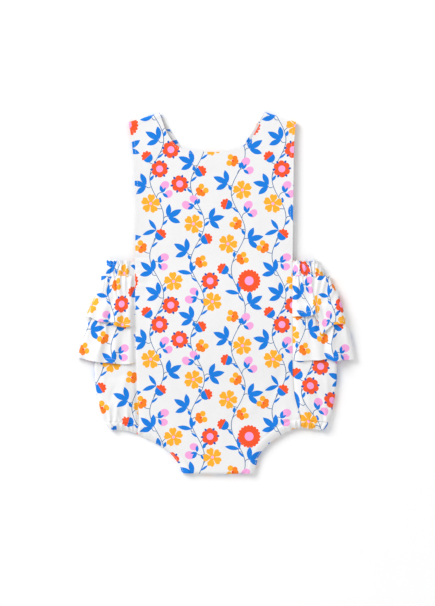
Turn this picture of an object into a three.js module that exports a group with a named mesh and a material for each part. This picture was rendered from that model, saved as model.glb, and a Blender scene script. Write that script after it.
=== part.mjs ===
// A baby romper laid out flat on its back: a bib front in one with the crotch, a back that turns round the
// hips to the front seams, two ruffle tiers, an elastic waist at the sides and back, gathered leg bands, and
// shoulder straps that turn over the top and cross behind the bib.
// Millimetres. X runs across, Y towards the shoulders, +Z up from the surface that the garment lies on.
import * as THREE from "three";

// Cloth and seams
const CLOTH = 1.2; // wall of one layer, with the bulk of its hems
const FIRM = 1.4; // wall of the front and the straps, whose free edges are turned and stitched
const CASING = 2.0; // wall of the waist casing, folded over its elastic
const SEAM = 0.4; // gap between two pieces at a seam
const LAYER = CLOTH + 0.4; // step from one layer of cloth to the next

// Heights along the garment
const TOP_Y = 196; // highest point of the shoulder folds
const CROTCH_Y = -196;
const WAIST_Y = 34; // top of the waist casing
const CASING_Y = 18; // stitch line under the waist elastic
const SHOULDER_SEAM = 7; // from a shoulder fold down to the seam of bib and strap

// Side edges of the front panel, which are free beside the bib and are the front seams below the waist
const FRONT_EDGES = [
  { y: 196, left: -95.4, right: 87.6 },
  { y: 185, left: -94.3, right: 86.5 },
  { y: 160, left: -90.8, right: 84.6 },
  { y: 125, left: -88.2, right: 83.9 },
  { y: 80, left: -87.2, right: 83.3 },
  { y: 34, left: -87.5, right: 82.9 },
  { y: -50, left: -87.0, right: 82.7 },
  { y: -105, left: -85.2, right: 84.2 },
  { y: -137, left: -83.6, right: 91.5 },
  { y: -152, left: -83.0, right: 92.5 },
];

// Side folds of the body, where the back turns to the front
const BODY_FOLDS = [
  { y: 34, left: -116.5, right: 107.5 },
  { y: 29, left: -117.6, right: 111.8 },
  { y: 18, left: -119.4, right: 116.4 },
  { y: 0, left: -122.6, right: 120.2 },
  { y: -30, left: -127.4, right: 125.4 },
  { y: -60, left: -130.4, right: 129.6 },
  { y: -90, left: -131.3, right: 130.8 },
  { y: -112, left: -128.4, right: 128.4 },
  { y: -127, left: -124.4, right: 125.2 },
  { y: -139, left: -119.0, right: 121.0 },
  { y: -148, left: -113.6, right: 116.6 },
];

const UPPER_FOLDS = [
  { y: 14, left: -123.4, right: 122.4 },
  { y: 3, left: -127.0, right: 129.6 },
  { y: -11, left: -134.2, right: 135.4 },
  { y: -26, left: -141.7, right: 139.8 },
];

const LOWER_FOLDS = [
  { y: -18, left: -131.6, right: 130.8 },
  { y: -27, left: -134.8, right: 134.6 },
  { y: -38, left: -139.4, right: 142.6 },
  { y: -54, left: -145.3, right: 147.2 },
  { y: -70, left: -150.7, right: 150.7 },
];

// The front's outer face, and the outer face of the back with the ruffles that lie under it
const FACE = [
  { y: 196, z: 6.2 },
  { y: 40, z: 6.2 },
  { y: 14, z: 7.6 },
  { y: 0, z: 8.0 },
  { y: -72, z: 8.0 },
  { y: -96, z: 6.4 },
  { y: -196, z: 6.4 },
];
const UNDERSIDE = [
  { y: 34, z: 0 },
  { y: 18, z: 1.0 },
  { y: 15, z: LAYER },
  { y: -10, z: LAYER },
  { y: -16, z: 2 * LAYER },
  { y: -31, z: 2 * LAYER },
  { y: -40, z: LAYER },
  { y: -73, z: LAYER },
  { y: -88, z: 0 },
  { y: -196, z: 0 },
];
const LOWER_UNDERSIDE = [
  { y: -18, z: LAYER },
  { y: -31, z: LAYER },
  { y: -40, z: 0 },
  { y: -80, z: 0 },
];
const UPPER_FACE_STEP = [
  { y: 14, z: LAYER },
  { y: -9, z: LAYER },
  { y: -16, z: 2 * LAYER + 1.1 },
  { y: -40, z: 2 * LAYER + 1.1 },
];

// Hems of the ruffles, from a front seam (at 0) to the side fold (at 1), and how far their folds lift them
const UPPER_HEM = {
  left: [
    { at: 0, y: -35.6, lift: 0 },
    { at: 0.14, y: -36.2, lift: 1.6 },
    { at: 0.3, y: -36.8, lift: 0.2 },
    { at: 0.44, y: -35.0, lift: 3.2 },
    { at: 0.58, y: -31.8, lift: 0.6 },
    { at: 0.72, y: -31.2, lift: 2.4 },
    { at: 0.86, y: -29.8, lift: 0.2 },
    { at: 1, y: -26.0, lift: 0 },
  ],
  right: [
    { at: 0, y: -25.6, lift: 0 },
    { at: 0.13, y: -24.6, lift: 1.4 },
    { at: 0.26, y: -25.4, lift: 0.3 },
    { at: 0.42, y: -23.2, lift: 1.0 },
    { at: 0.56, y: -23.0, lift: 4.4 },
    { at: 0.7, y: -25.6, lift: 0.4 },
    { at: 0.84, y: -24.2, lift: 1.8 },
    { at: 1, y: -24.6, lift: 0 },
  ],
};
const LOWER_HEM = {
  left: [
    { at: 0, y: -75.0, lift: 0 },
    { at: 0.13, y: -76.4, lift: 1.8 },
    { at: 0.28, y: -76.8, lift: 0.2 },
    { at: 0.42, y: -75.6, lift: 2.6 },
    { at: 0.57, y: -75.2, lift: 0.4 },
    { at: 0.7, y: -74.2, lift: 3.0 },
    { at: 0.86, y: -72.6, lift: 0.6 },
    { at: 1, y: -70.0, lift: 0 },
  ],
  right: [
    { at: 0, y: -72.6, lift: 0 },
    { at: 0.16, y: -73.2, lift: 1.2 },
    { at: 0.32, y: -72.6, lift: 0.2 },
    { at: 0.47, y: -72.4, lift: 2.2 },
    { at: 0.6, y: -70.6, lift: 0.4 },
    { at: 0.7, y: -72.8, lift: 3.4 },
    { at: 0.86, y: -69.6, lift: 0.8 },
    { at: 1, y: -70.0, lift: 0 },
  ],
};
const BACK_HEM = { upper: -25.4, lower: -70 };

// Leg openings, from the crotch corner to the side fold: the seam of the band, and its free edge
const LEG_BAND = {
  left: {
    frontSeamAt: 6, // this point of the band's seam is where it meets the front seam
    seam: [
      { x: -28.0, y: -195.0 },
      { x: -30.3, y: -184.5 },
      { x: -37.5, y: -173.2 },
      { x: -47.2, y: -163.0 },
      { x: -60.8, y: -154.6 },
      { x: -72.5, y: -148.5 },
      { x: -83.3, y: -143.3 },
      { x: -94.3, y: -140.4 },
      { x: -105.6, y: -139.2 },
      { x: -115.8, y: -139.0 },
    ],
    hem: [
      { x: -36.9, y: -194.6 },
      { x: -39.4, y: -186.8 },
      { x: -45.3, y: -178.3 },
      { x: -52.9, y: -170.2 },
      { x: -65.3, y: -162.6 },
      { x: -76.1, y: -156.8 },
      { x: -86.0, y: -152.2 },
      { x: -95.6, y: -149.3 },
      { x: -104.0, y: -148.2 },
      { x: -110.4, y: -148.0 },
    ],
  },
  right: {
    frontSeamAt: 7,
    seam: [
      { x: 32.2, y: -195.0 },
      { x: 34.4, y: -184.8 },
      { x: 37.4, y: -173.0 },
      { x: 44.0, y: -163.0 },
      { x: 52.6, y: -154.9 },
      { x: 62.4, y: -147.6 },
      { x: 76.2, y: -139.8 },
      { x: 91.4, y: -136.6 },
      { x: 104.4, y: -138.1 },
      { x: 117.8, y: -139.0 },
    ],
    hem: [
      { x: 41.2, y: -194.4 },
      { x: 43.4, y: -186.6 },
      { x: 45.8, y: -177.4 },
      { x: 51.0, y: -169.6 },
      { x: 58.9, y: -161.7 },
      { x: 67.6, y: -155.4 },
      { x: 79.4, y: -148.6 },
      { x: 91.6, y: -145.6 },
      { x: 102.8, y: -147.0 },
      { x: 113.4, y: -148.0 },
    ],
  },
};

// Shoulder folds and the far ends of the straps on the back waist casing
const STRAPS = {
  left: { foldOuter: [-94.3, 185], foldInner: [-61.2, 195], endOuter: [14.2, 23], endInner: [41.8, 31], lift: 0 },
  right: { foldOuter: [86.5, 185], foldInner: [52.6, 196], endOuter: [-23.6, 23], endInner: [-51.2, 31], lift: 1.7 },
};
const STRAP_CROSSING = { y: 77, half: 34 }; // where the straps lie on each other, along Y

// Neckline from the left shoulder seam to the right one
const NECKLINE = [
  { x: -59.0, y: 188.6 },
  { x: -54.3, y: 176.3 },
  { x: -46.9, y: 163.9 },
  { x: -38.0, y: 157.0 },
  { x: -24.0, y: 153.4 },
  { x: -5.0, y: 152.4 },
  { x: 9.0, y: 152.8 },
  { x: 21.0, y: 154.9 },
  { x: 30.5, y: 158.9 },
  { x: 37.2, y: 165.6 },
  { x: 44.4, y: 177.6 },
  { x: 50.4, y: 189.6 },
];

// Cells along a leg opening: to the front seam, from there to the side fold, and back under it
const LEG_CELLS = { front: 8, hip: 24, back: 8 };
const CROTCH_CELLS = 6;
const BAND_START = 0.05; // share of a band's depth that its seam with the panels takes

// Gathers, in waves of the wall
const GATHERS = {
  casing: { waves: 9, height: 1.0 }, // on each side, from the front seam to the fold
  ruffleTop: { waves: 9, height: 0.9 },
  leg: { waves: 5, height: 1.0 }, // on each leg band, from the front seam to the fold
  hip: { waves: 5, height: 1.0, reach: 26 }, // above the leg bands, fading over this reach
};

// Print cloth, as one plain colour for each piece
const COLOURS = {
  front: 0xf6f1ee,
  back: 0xf1ece9,
  ruffle: 0xf4eae4,
  band: 0xece7e6,
  strap: 0xeeeae6,
};

const { lerp, clamp, smoothstep } = THREE.MathUtils;

// The value of a table's column at a place, eased by the slopes of its neighbours
function read(table, key, column, place) {
  const rising = table[table.length - 1][key] > table[0][key];
  const rows = rising ? table : [...table].reverse();
  const p = clamp(place, rows[0][key], rows[rows.length - 1][key]);
  let i = rows.findIndex((row) => row[key] >= p);
  i = Math.max(i, 1);
  const slope = (k) => {
    const a = rows[Math.max(k - 1, 0)];
    const b = rows[Math.min(k + 1, rows.length - 1)];
    return (b[column] - a[column]) / (b[key] - a[key]);
  };
  const a = rows[i - 1];
  const b = rows[i];
  const width = b[key] - a[key];
  const t = (p - a[key]) / width;
  const h = t * t * (3 - 2 * t);
  const bend = t * (1 - t) * width * ((1 - t) * slope(i - 1) - t * slope(i));
  return a[column] * (1 - h) + b[column] * h + bend;
}

// The same with straight lines between rows
function readStraight(table, column, y) {
  const i = Math.max(1, table.findIndex((row) => row.y <= y));
  const b = table[table.length - 1].y > y ? table[table.length - 1] : table[i];
  const a = table[i - 1];
  return lerp(a[column], b[column], clamp((a.y - y) / (a.y - b.y || 1), 0, 1));
}

const face = (y) => readStraight(FACE, "z", y);
const underside = (y) => readStraight(UNDERSIDE, "z", y);

function curveOf(points) {
  return new THREE.SplineCurve(points.map((p) => new THREE.Vector2(p.x, p.y)));
}

// Each leg opening as places along its band, so that the panels and the band share their corners
const legs = {};
for (const side of ["left", "right"]) {
  const band = LEG_BAND[side];
  const frontSeam = band.frontSeamAt / (band.seam.length - 1);
  const steps = (cells, from, to) => Array.from({ length: cells + 1 }, (_, i) => lerp(from, to, i / cells));
  legs[side] = {
    seam: curveOf(band.seam),
    hem: curveOf(band.hem),
    front: steps(LEG_CELLS.front, 0, frontSeam),
    hip: steps(LEG_CELLS.hip, frontSeam, 1),
    back: steps(LEG_CELLS.back, 1, 0),
  };
}

// A point of a leg band in plan, between its seam (0) and its free edge (1)
function bandPoint(side, t, across) {
  return legs[side].seam.getPoint(t).lerp(legs[side].hem.getPoint(t), across);
}

// The end of a panel's column on the seam of a leg band
function legEnd(side, t) {
  const p = legs[side].seam.getPoint(t);
  return { x: p.x, y: p.y, turn: 0 };
}

// A wave of the wall, from 0 in its valleys to its height, with a whole number of waves over 0 to 1
function wave(at, gathers, strength = 1) {
  return (gathers.height * strength * (1 - Math.cos(2 * Math.PI * gathers.waves * at))) / 2;
}

// A closed wall from a grid of points on its outer face, each with the direction that faces out
function wall(grid, thickness) {
  const rows = grid.length;
  const columns = grid[0].length;
  const places = [];
  for (const sunk of [0, thickness]) {
    for (const row of grid) {
      for (const { point, out } of row) {
        places.push(...point.clone().addScaledVector(out, -sunk).toArray());
      }
    }
  }
  const outer = (j, i) => j * columns + i;
  const inner = (j, i) => rows * columns + j * columns + i;
  const index = [];
  const quad = (a, b, c, d) => index.push(a, b, c, a, c, d);
  for (let j = 0; j < rows - 1; j++) {
    for (let i = 0; i < columns - 1; i++) {
      quad(outer(j, i), outer(j + 1, i), outer(j + 1, i + 1), outer(j, i + 1));
      quad(inner(j, i), inner(j, i + 1), inner(j + 1, i + 1), inner(j + 1, i));
    }
    quad(outer(j, 0), inner(j, 0), inner(j + 1, 0), outer(j + 1, 0));
    const e = columns - 1;
    quad(outer(j, e), outer(j + 1, e), inner(j + 1, e), inner(j, e));
  }
  for (let i = 0; i < columns - 1; i++) {
    const e = rows - 1;
    quad(outer(0, i), outer(0, i + 1), inner(0, i + 1), inner(0, i));
    quad(outer(e, i), inner(e, i), inner(e, i + 1), outer(e, i + 1));
  }
  const made = new THREE.BufferGeometry();
  made.setAttribute("position", new THREE.Float32BufferAttribute(places, 3));
  made.setIndex(facingOut(places, index));
  made.computeVertexNormals();
  return made;
}

// The triangles turned round if they enclose a negative volume
function facingOut(places, index) {
  const corner = (k) => new THREE.Vector3().fromArray(places, 3 * index[k]);
  let volume = 0;
  for (let k = 0; k < index.length; k += 3) {
    volume += corner(k).dot(corner(k + 1).cross(corner(k + 2)));
  }
  return volume > 0 ? index : [...index].reverse();
}

// Columns of a piece that goes round the hips, from the left front seam to the right one
function hipColumns(front, fold, back) {
  const stretches = [
    ["leftFront", front],
    ["leftFold", fold],
    ["back", back],
    ["rightFold", fold],
    ["rightFront", front],
  ];
  const columns = stretches.flatMap(([part, cells]) =>
    Array.from({ length: cells }, (_, i) => ({ part, at: i / cells })),
  );
  return [...columns, { part: "rightFront", at: 1 }];
}

// A point of such a piece at a height y, where its section has these folds, this top and this underside
function hipPoint(column, y, section) {
  const { left, right, top, under } = section;
  const r = (top - under) / 2;
  const middle = (top + under) / 2;
  const seamLeft = read(FRONT_EDGES, "y", "left", y) - SEAM / 2;
  const seamRight = read(FRONT_EDGES, "y", "right", y) + SEAM / 2;
  const { part, at } = column;
  if (part === "leftFold" || part === "rightFold") {
    const isLeft = part === "leftFold";
    const angle = (isLeft ? Math.PI / 2 : -Math.PI / 2) + at * Math.PI;
    const out = new THREE.Vector3(Math.cos(angle), 0, Math.sin(angle));
    const centre = new THREE.Vector3(isLeft ? left + r : right - r, y, middle);
    return { point: centre.addScaledVector(out, r), out };
  }
  const spans = {
    leftFront: [seamLeft, left + r, top],
    back: [left + r, right - r, under],
    rightFront: [right - r, seamRight, top],
  };
  const [from, to, z] = spans[part];
  return {
    point: new THREE.Vector3(lerp(from, to, at), y, z),
    out: new THREE.Vector3(0, 0, part === "back" ? -1 : 1),
  };
}

// How far a column is from its front seam (0) to its side fold (1), and null elsewhere
function fromSeam({ part, at }) {
  if (part === "leftFront") return at;
  if (part === "rightFront") return 1 - at;
  return null;
}

function foldsAt(table, y) {
  return { left: read(table, "y", "left", y), right: read(table, "y", "right", y) };
}

// Elastic casing round the sides and back of the waist
function waistCasing() {
  const rows = [WAIST_Y, 29, 24, CASING_Y];
  const grid = rows.map((y) =>
    hipColumns(36, 4, 12).map((column) => {
      const section = { ...foldsAt(BODY_FOLDS, y), top: face(y), under: 0 };
      const made = hipPoint(column, y, section);
      const at = fromSeam(column);
      if (at !== null) made.point.z += wave(at, GATHERS.casing);
      return made;
    }),
  );
  return wall(grid, CASING);
}

// Where the columns of the back panel end: on the seams of the leg bands and at the crotch
function backEnd({ part, at }) {
  const { hip, back } = LEG_CELLS;
  const cells = 2 * back + CROTCH_CELLS;
  const k = Math.round(at * cells);
  if (part === "leftFront") return legEnd("left", legs.left.hip[Math.round(at * hip)]);
  if (part === "rightFront") return legEnd("right", legs.right.hip[Math.round((1 - at) * hip)]);
  if (part === "leftFold") return legEnd("left", 1);
  if (part === "rightFold") return legEnd("right", 1);
  if (k < back) return legEnd("left", legs.left.back[k]);
  if (k > cells - back) return legEnd("right", legs.right.back[cells - k]);
  return crotchEnd((k - back) / CROTCH_CELLS);
}

function crotchEnd(at) {
  const [from, to] = [LEG_BAND.left.seam[0], LEG_BAND.right.seam[0]];
  const bow = 4 * at * (1 - at);
  const atCorner = at === 0 || at === 1;
  return {
    x: lerp(from.x, to.x, at),
    y: lerp(from.y, CROTCH_Y, bow),
    turn: atCorner ? 0.4 : 1,
  };
}

// Lays the last rows of a panel: flat up to a leg band, and turned through a quarter circle at the crotch
const TURN_ROWS = 3;
const TURN_ANGLE = THREE.MathUtils.degToRad(86);
function turnEnd(made, end, share, r, up) {
  const start = end.y + r;
  const angle = share * TURN_ANGLE;
  const flat = lerp(start, end.y, share);
  made.point.y = lerp(flat, start - r * Math.sin(angle), end.turn);
  made.point.z -= up * end.turn * r * (1 - Math.cos(angle));
  const tilt = angle * end.turn;
  made.out.set(0, -Math.sin(tilt), up * Math.cos(tilt));
  return made;
}

// The back, from the left front seam round the hips to the right one, and down to the crotch
function backPanel() {
  const levelRows = [CASING_Y - SEAM, 14, 0, -10, -16, -31, -40, -73, -88, -104, -120];
  const columns = hipColumns(LEG_CELLS.hip, 4, 2 * LEG_CELLS.back + CROTCH_CELLS);
  const top = levelRows[0];
  const crotchTurn = face(CROTCH_Y) / 2;
  const pointAt = (column, end, y) => {
    const section = { ...foldsAt(BODY_FOLDS, y), top: face(y), under: underside(y) };
    const level = (at) => hipPoint({ ...column, at }, y, section);
    if (column.part.endsWith("Fold")) return level(column.at);
    const [from, to] = [level(0).point.x, level(1).point.x];
    const endSection = { ...foldsAt(BODY_FOLDS, end.y), top: face(end.y), under: underside(end.y) };
    const endLevel = (at) => hipPoint({ ...column, at }, end.y, endSection).point.x;
    const endAt = (end.x - endLevel(0)) / (endLevel(1) - endLevel(0));
    const slide = clamp((top - y) / (top - end.y), 0, 1) ** 2;
    const made = level(column.at);
    made.point.x = lerp(from, to, lerp(column.at, endAt, slide));
    return made;
  };
  const lowRows = 2;
  const grid = [];
  const rowCount = levelRows.length + lowRows + TURN_ROWS;
  for (let j = 0; j < rowCount; j++) {
    grid.push(
      columns.map((column) => {
        const end = backEnd(column);
        const turnStart = end.y + crotchTurn;
        const low = clamp((j - levelRows.length + 1) / lowRows, 0, 1);
        const last = levelRows[levelRows.length - 1];
        const y = low > 0 ? lerp(last, turnStart, low) : levelRows[j];
        const share = (j - levelRows.length - lowRows + 1) / TURN_ROWS;
        const made = pointAt(column, end, share > 0 ? lerp(turnStart, end.y, share) : y);
        if (share > 0 && column.part === "back") turnEnd(made, end, share, crotchTurn, -1);
        const at = fromSeam(column);
        if (at !== null) {
          const nearLeg = 1 - clamp((made.point.y - end.y) / GATHERS.hip.reach, 0, 1);
          made.point.z += wave(at, GATHERS.hip, nearLeg);
        }
        return made;
      }),
    );
  }
  return wall(grid, CLOTH);
}

// Bib and front body in one piece, from the shoulder seams and the neckline down to the crotch
function frontPanel() {
  const count = 2 * LEG_CELLS.front + CROTCH_CELLS;
  const strapCells = 4;
  const neckCells = count - 2 * strapCells;
  const neck = curveOf(NECKLINE);
  const bibRows = 9;
  const bodyRows = [14, 0, -14, -28, -42, -58, -74, -90, -106, -120];
  const lowRows = 2;
  const crotchTurn = face(CROTCH_Y) / 2;

  const topOf = (k) => {
    if (k < strapCells) return shoulderSeam("left", k / strapCells);
    if (k > count - strapCells) return shoulderSeam("right", (count - k) / strapCells);
    const p = neck.getPointAt((k - strapCells) / neckCells);
    return { x: p.x, y: p.y };
  };
  const endOf = (k) => {
    const { front } = LEG_CELLS;
    if (k < front) return legEnd("left", legs.left.front[front - k]);
    if (k > count - front) return legEnd("right", legs.right.front[k - count + front]);
    return crotchEnd((k - front) / CROTCH_CELLS);
  };
  const edges = (y) => [
    read(FRONT_EDGES, "y", "left", y) + SEAM / 2,
    read(FRONT_EDGES, "y", "right", y) - SEAM / 2,
  ];
  const shareOf = ({ x, y }) => {
    const [left, right] = edges(y);
    return clamp((x - left) / (right - left), 0, 1);
  };
  const lay = (y, share) => {
    const [left, right] = edges(y);
    const x = lerp(left, right, share);
    return {
      point: new THREE.Vector3(x, y, face(y) - bibDroop(share, y)),
      out: new THREE.Vector3(0, 0, 1),
    };
  };

  const grid = [];
  const rowCount = bibRows + 1 + bodyRows.length + lowRows + TURN_ROWS;
  for (let j = 0; j < rowCount; j++) {
    const row = [];
    for (let k = 0; k <= count; k++) {
      const top = topOf(k);
      const end = endOf(k);
      const evenly = k / count;
      const turnStart = end.y + crotchTurn;
      if (j <= bibRows) {
        const t = j / bibRows;
        row.push(lay(lerp(top.y, WAIST_Y, t), lerp(shareOf(top), evenly, t)));
        continue;
      }
      const body = j - bibRows - 1;
      const low = clamp((body - bodyRows.length + 1) / lowRows, 0, 1);
      const share = (body - bodyRows.length - lowRows + 1) / TURN_ROWS;
      const lastLevel = bodyRows[bodyRows.length - 1];
      const level = low > 0 ? lerp(lastLevel, turnStart, low) : bodyRows[body];
      const y = share > 0 ? lerp(turnStart, end.y, share) : level;
      const slide = clamp((WAIST_Y - y) / (WAIST_Y - end.y), 0, 1) ** 2;
      const made = lay(y, lerp(evenly, shareOf(end), slide));
      row.push(share > 0 ? turnEnd(made, end, share, crotchTurn, 1) : made);
    }
    grid.push(row);
  }
  return wall(grid, FIRM);
}

// The bib's free sides lie a little lower than its middle
function bibDroop(share, y) {
  const edge = 1 - Math.min(share, 1 - share) / 0.16;
  const along = smoothstep(y, WAIST_Y + 6, WAIST_Y + 40) * (1 - smoothstep(y, 140, 176));
  return 1.4 * along * clamp(edge, 0, 1) ** 2;
}

// A point on the seam of bib and strap, from the arm side (0) to the neck side (1)
function shoulderSeam(side, at) {
  const { foldOuter, foldInner } = STRAPS[side];
  const outward = side === "left" ? -1 : 1;
  const down = [
    [outward * -0.9, -SHOULDER_SEAM],
    [outward * -2.2, -SHOULDER_SEAM + 0.6],
  ];
  return {
    x: lerp(foldOuter[0] + down[0][0], foldInner[0] + down[1][0], at),
    y: lerp(foldOuter[1] + down[0][1], foldInner[1] + down[1][1], at),
  };
}

// A strap: from its shoulder seam over the fold, and down behind the bib to the back waist casing
function strap(side) {
  const { foldOuter, foldInner, endOuter, endInner, lift } = STRAPS[side];
  const across = 4;
  const turnCells = 6;
  const backRows = [0.04, 0.12, 0.25, 0.36, 0.44, 0.56, 0.68, 0.8, 0.88, 0.925, 0.96, 1];
  const r = face(TOP_Y) / 2;
  const flatten = ([x, y]) => new THREE.Vector3(x, y, 0);
  const grid = [];
  const pushRow = (placed) =>
    grid.push(Array.from({ length: across + 1 }, (_, i) => placed(i / across)));
  const fold = (at) => flatten(foldOuter).lerp(flatten(foldInner), at);
  const front = (at) => {
    const p = shoulderSeam(side, at);
    return new THREE.Vector3(p.x, p.y, 0).sub(fold(at)).normalize();
  };
  const back = (at) =>
    flatten(endOuter).lerp(flatten(endInner), at).sub(fold(at));

  pushRow((at) => {
    const p = shoulderSeam(side, at);
    const point = new THREE.Vector3(p.x, p.y, 2 * r).addScaledVector(front(at), -SEAM);
    return { point, out: new THREE.Vector3(0, 0, 1) };
  });
  for (let q = 0; q <= turnCells; q++) {
    const angle = (Math.PI * q) / turnCells;
    pushRow((at) => {
      const along = angle <= Math.PI / 2 ? front(at) : back(at).normalize();
      const point = fold(at).addScaledVector(along, r * (1 - Math.sin(angle)));
      point.z = r + r * Math.cos(angle);
      const out = along.multiplyScalar(-Math.sin(angle));
      out.z = Math.cos(angle);
      return { point, out: out.normalize() };
    });
  }
  for (const t of backRows) {
    pushRow((at) => {
      const point = fold(at).addScaledVector(back(at), t);
      const crossing = 1 - smoothstep(Math.abs(point.y - STRAP_CROSSING.y), STRAP_CROSSING.half, STRAP_CROSSING.half + 12);
      const onCasing = smoothstep(-point.y, -WAIST_Y - 9, -WAIST_Y - 3);
      point.z = Math.max(lift * crossing, (CASING + 0.3) * onCasing);
      return { point, out: new THREE.Vector3(0, 0, -1) };
    });
  }
  return wall(grid, FIRM);
}

// A ruffle tier, gathered at its top and folded at its hem, from front seam to front seam round the back
function ruffle({ rows, folds, top, under, hem, backHem }) {
  const columns = hipColumns(36, 4, 10);
  const [first] = rows;
  const last = rows[rows.length - 1];
  const plainHem = { y: backHem, lift: 0 };
  const hemAt = (side, at) => ({
    y: read(hem[side], "at", "y", at),
    lift: Math.max(read(hem[side], "at", "lift", at), 0),
  });
  const hemOf = (column) => {
    if (column.part === "leftFront") return hemAt("left", column.at);
    if (column.part === "rightFront") return hemAt("right", 1 - column.at);
    return plainHem;
  };
  const grid = [...rows, null].map((level) =>
    columns.map((column) => {
      const hemHere = hemOf(column);
      const y = level === null ? hemHere.y : Math.max(level, hemHere.y + 2);
      const nearHem = level === null ? 1 : (first - level) / (first - last + 8);
      const made = hipPoint(column, y, { ...foldsAt(folds, y), top: top(y), under: under(y) });
      const at = fromSeam(column);
      if (at !== null) {
        made.point.z += wave(at, GATHERS.ruffleTop, (1 - nearHem) ** 2);
        made.point.z += hemHere.lift * nearHem ** 2;
      }
      return made;
    }),
  );
  return wall(grid, CLOTH);
}

function upperRuffle() {
  return ruffle({
    rows: [13.4, 0, -10, -16],
    folds: UPPER_FOLDS,
    top: (y) => face(y) + readStraight(UPPER_FACE_STEP, "z", y),
    under: () => 0,
    hem: UPPER_HEM,
    backHem: BACK_HEM.upper,
  });
}

function lowerRuffle() {
  return ruffle({
    rows: [-18, -31, -40, -54],
    folds: LOWER_FOLDS,
    top: (y) => face(y) + LAYER,
    under: (y) => readStraight(LOWER_UNDERSIDE, "z", y),
    hem: LOWER_HEM,
    backHem: BACK_HEM.lower,
  });
}

// The gathered band of a leg opening: along the front edge, round the side fold and back under it
function legBand(side) {
  const { front, hip, back } = legs[side];
  const sign = side === "left" ? -1 : 1;
  const top = face(CROTCH_Y);
  const r = top / 2;
  const foldCells = 4;
  const across = [BAND_START, 0.5, 1];
  const grid = across.map((v) => {
    const up = new THREE.Vector3(0, 0, 1);
    const lying = (t, z, out) => {
      const p = bandPoint(side, t, v);
      return { point: new THREE.Vector3(p.x, p.y, z), out };
    };
    const row = front.slice(0, -1).map((t) => lying(t, top, up));
    hip.forEach((t, i) => row.push(lying(t, top + wave(i / LEG_CELLS.hip, GATHERS.leg), up)));
    for (let i = 1; i < foldCells; i++) {
      const angle = Math.PI / 2 - (Math.PI * i) / foldCells;
      const out = new THREE.Vector3(sign * Math.cos(angle), 0, Math.sin(angle));
      const made = lying(1, r, out);
      made.point.addScaledVector(out, r);
      row.push(made);
    }
    back.forEach((t) => row.push(lying(t, 0, up.clone().negate())));
    return row;
  });
  return wall(grid, CLOTH);
}

const romper = new THREE.Group();
function add(name, geometry, colour) {
  const material = new THREE.MeshStandardMaterial({ color: colour, roughness: 0.85, metalness: 0 });
  const mesh = new THREE.Mesh(geometry, material);
  mesh.name = name;
  romper.add(mesh);
}

add("front_panel", frontPanel(), COLOURS.front);
add("back_panel", backPanel(), COLOURS.back);
add("waist_casing", waistCasing(), COLOURS.band);
add("upper_ruffle", upperRuffle(), COLOURS.ruffle);
add("lower_ruffle", lowerRuffle(), COLOURS.ruffle);
for (const side of ["left", "right"]) {
  add(side + "_leg_band", legBand(side), COLOURS.band);
  add(side + "_strap", strap(side), COLOURS.strap);
}

export default romper;
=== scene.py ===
# A baby romper laid flat on its back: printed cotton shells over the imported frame, with its stitching, a pale
# floor, soft light and a camera straight above.
import math
from functools import reduce

import bpy
import numpy as np
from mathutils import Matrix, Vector


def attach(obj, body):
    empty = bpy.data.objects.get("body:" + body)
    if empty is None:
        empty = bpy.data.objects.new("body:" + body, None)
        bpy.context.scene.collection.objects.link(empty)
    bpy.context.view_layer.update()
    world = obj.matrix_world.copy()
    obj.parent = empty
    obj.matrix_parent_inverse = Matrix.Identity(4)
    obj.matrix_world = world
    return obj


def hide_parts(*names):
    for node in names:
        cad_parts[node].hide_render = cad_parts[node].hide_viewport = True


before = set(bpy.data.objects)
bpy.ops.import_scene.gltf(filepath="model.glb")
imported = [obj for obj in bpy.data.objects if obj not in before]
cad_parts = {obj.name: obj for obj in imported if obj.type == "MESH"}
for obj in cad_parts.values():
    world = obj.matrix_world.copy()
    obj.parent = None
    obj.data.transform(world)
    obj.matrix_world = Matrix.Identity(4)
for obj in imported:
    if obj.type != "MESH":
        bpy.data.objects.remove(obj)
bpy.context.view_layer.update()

MM = 0.001  # every size below is in millimetres until it becomes a mesh
PHOTO = (435, 606)  # pixels
PHOTO_SCALE = 1.08  # mm of the garment to one pixel of the photo
GARMENT_CENTRE = (216.0, 293.0)  # where the middle of the garment's outline lies in the photo, in pixels

# Cloth
CLOTH = 0.55  # thickness of one layer
ELASTIC_CLOTH = 0.9  # thickness of a strip folded over elastic, and of a strap
HEM = 1.1  # thickness of a turned and stitched edge
BIB_HEM, TIER_HEM, STRAP_HEM = 6, 5, 4  # widths of the hems
HEM_END = (-0.8, 0.2)  # where the extra thickness of a hem ends, measured from its width
SEAM = 0.4  # gap between two pieces at a seam
LAYER = 1.6  # step from one layer of the frame's walls to the next

# Places along the garment: the fold at the shoulders, the casing's upper and lower edge, and the crotch
TOP_Y, WAIST_Y, CASING_Y, CROTCH_Y = 196.0, 34.0, 18.0, -196.0


class Table:
    """Rows of sizes under named columns."""

    def __init__(self, names, *rows):
        self.columns = dict(zip(names.split(), np.array(rows, float).T))

    def eased(self, column, key, places):
        """The column's value at each place, eased by the slopes of its neighbours."""
        k, c = self.columns[key], self.columns[column]
        if k[0] > k[-1]:
            k, c = k[::-1], c[::-1]
        before = np.maximum(np.arange(len(k)) - 1, 0)
        after = np.minimum(np.arange(len(k)) + 1, len(k) - 1)
        slope = (c[after] - c[before]) / (k[after] - k[before])
        p = np.clip(places, k[0], k[-1])
        i = np.clip(np.searchsorted(k, p) - 1, 0, len(k) - 2)
        width = k[i + 1] - k[i]
        t = (p - k[i]) / width
        h = t * t * (3 - 2 * t)
        bend = t * (1 - t) * width * ((1 - t) * slope[i] - t * slope[i + 1])
        return c[i] * (1 - h) + c[i + 1] * h + bend


SIDES = ("left", "right")

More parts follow.
